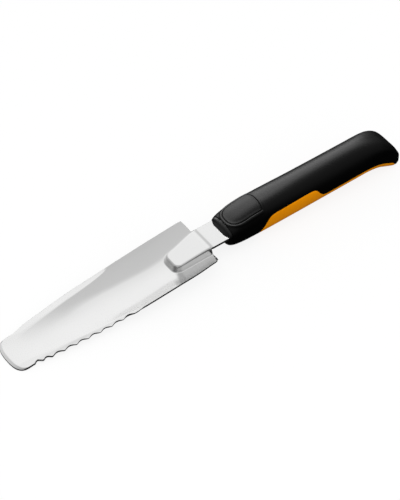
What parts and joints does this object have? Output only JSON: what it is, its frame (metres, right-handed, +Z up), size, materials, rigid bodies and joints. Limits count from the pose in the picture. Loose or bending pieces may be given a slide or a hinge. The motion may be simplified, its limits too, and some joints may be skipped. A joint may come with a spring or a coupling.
{
  "type": "hori hori knife",
  "caption": "Garden digging knife with a stamped steel scoop blade, one serrated edge and a black and orange moulded handle.",
  "frame": {"origin": "middle of the bounding box's base, where the knife lies with its scoop open upwards", "axes": "+X from the tip towards the butt, +Y across towards the ground edge (serrated edge on -Y), +Z up out of the scoop"},
  "size_m": [0.3382, 0.0472, 0.0325],
  "materials": {
    "stainless_steel": "satin stainless sheet, bright at the ground edge",
    "pin_steel": "plain drawn pin",
    "dark_grey_core": "dark grey moulded plastic",
    "black_hard_plastic": "satin black moulded plastic",
    "black_panel_plastic": "fine textured black plastic",
    "black_soft_plastic": "satin black soft-touch plastic",
    "orange_soft_plastic": "satin orange soft-touch plastic"
  },
  "bodies": {
    "root": {"blade": "stainless_steel", "handle_core": "dark_grey_core", "tang_pin_front": "pin_steel", "tang_pin_rear": "pin_steel", "front_collar": "black_hard_plastic", "thumb_panel": "black_panel_plastic", "grip_shell": "black_soft_plastic", "grip_insert": "orange_soft_plastic"}
  },
  "joints": []
}
